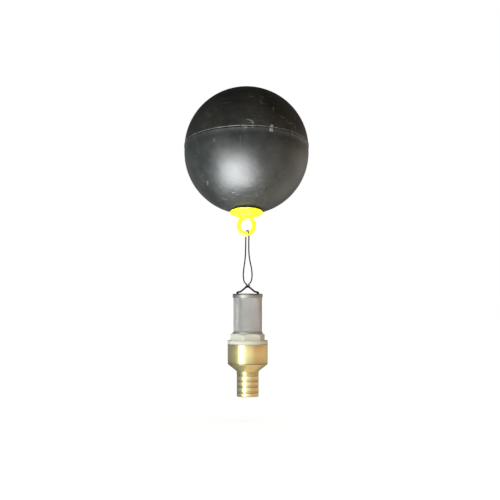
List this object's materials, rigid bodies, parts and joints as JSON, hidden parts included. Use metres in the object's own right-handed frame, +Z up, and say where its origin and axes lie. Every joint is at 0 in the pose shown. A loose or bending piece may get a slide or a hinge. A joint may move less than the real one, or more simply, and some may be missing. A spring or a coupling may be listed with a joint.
{
  "type": "floating suction check valve",
  "caption": "Ball float with an eye, from which a cord hangs a mesh strainer and a brass check valve with a ridged hose tail.",
  "frame": {"origin": "centre of the ball float", "axes": "+Z up, against gravity; -Y towards the viewer, the side to which the float's lower pole leans by 15 degrees"},
  "size_m": [0.1532, 0.1532, 0.3775],
  "materials": {
    "float_black": "black moulded polyethylene, satin, with scuffs and a welded seam",
    "eye_yellow": "bright yellow moulded plastic",
    "cord_black": "thin black braided cord with a slight sheen",
    "strainer_steel": "fine woven stainless wire mesh and thin stainless sheet",
    "collar_nylon": "off-white moulded nylon",
    "seal_rubber": "black seal rubber",
    "valve_brass": "turned brass with fine lathe marks"
  },
  "bodies": {
    "float": {"float_shell_upper": "float_black", "float_shell_lower": "float_black", "float_weld_bead": "float_black", "float_eye": "eye_yellow", "eye_seal_ring": "seal_rubber"},
    "loop": {"loop_cord": "cord_black"},
    "bridle": {"junction_knot": "cord_black", "leg_cord_left": "cord_black", "leg_cord_right": "cord_black", "cap_knot_left": "cord_black", "cap_knot_right": "cord_black"},
    "valve": {"cord_end_left": "cord_black", "cord_end_right": "cord_black", "strainer_rim": "strainer_steel", "strainer_end_mesh": "strainer_steel", "strainer_mesh": "strainer_steel", "strainer_foot_band": "strainer_steel", "strainer_collar": "collar_nylon", "collar_gasket": "seal_rubber", "valve_body": "valve_brass", "hose_tail": "valve_brass", "tail_seal": "seal_rubber", "poppet_guide": "valve_brass", "poppet_spring": "strainer_steel"},
    "poppet": {"poppet": "collar_nylon", "poppet_seal": "seal_rubber", "seal_nut": "valve_brass"}
  },
  "joints": [
    {"name": "loop_swing", "type": "hinge", "parent": "float", "child": "loop", "pos_m": [0.0015, -0.0275, -0.10263], "axis": [1, 0, 0], "range_deg": [-60, 60]},
    {"name": "bridle_sway", "type": "hinge", "parent": "loop", "child": "bridle", "pos_m": [0.0015, -0.0275, -0.16563], "axis": [0, 1, 0], "range_deg": [-40, 40]},
    {"name": "valve_nod", "type": "hinge", "parent": "bridle", "child": "valve", "pos_m": [0.0015, -0.0275, -0.17283], "axis": [1, 0, 0], "range_deg": [-60, 60]},
    {"name": "poppet_lift", "type": "slide", "parent": "valve", "child": "poppet", "axis": [0, 0, -1], "range_m": [0, 0.005], "stiffness_N_per_m": 60, "springref_m": -0.008, "deforming": ["poppet_spring"]}
  ]
}
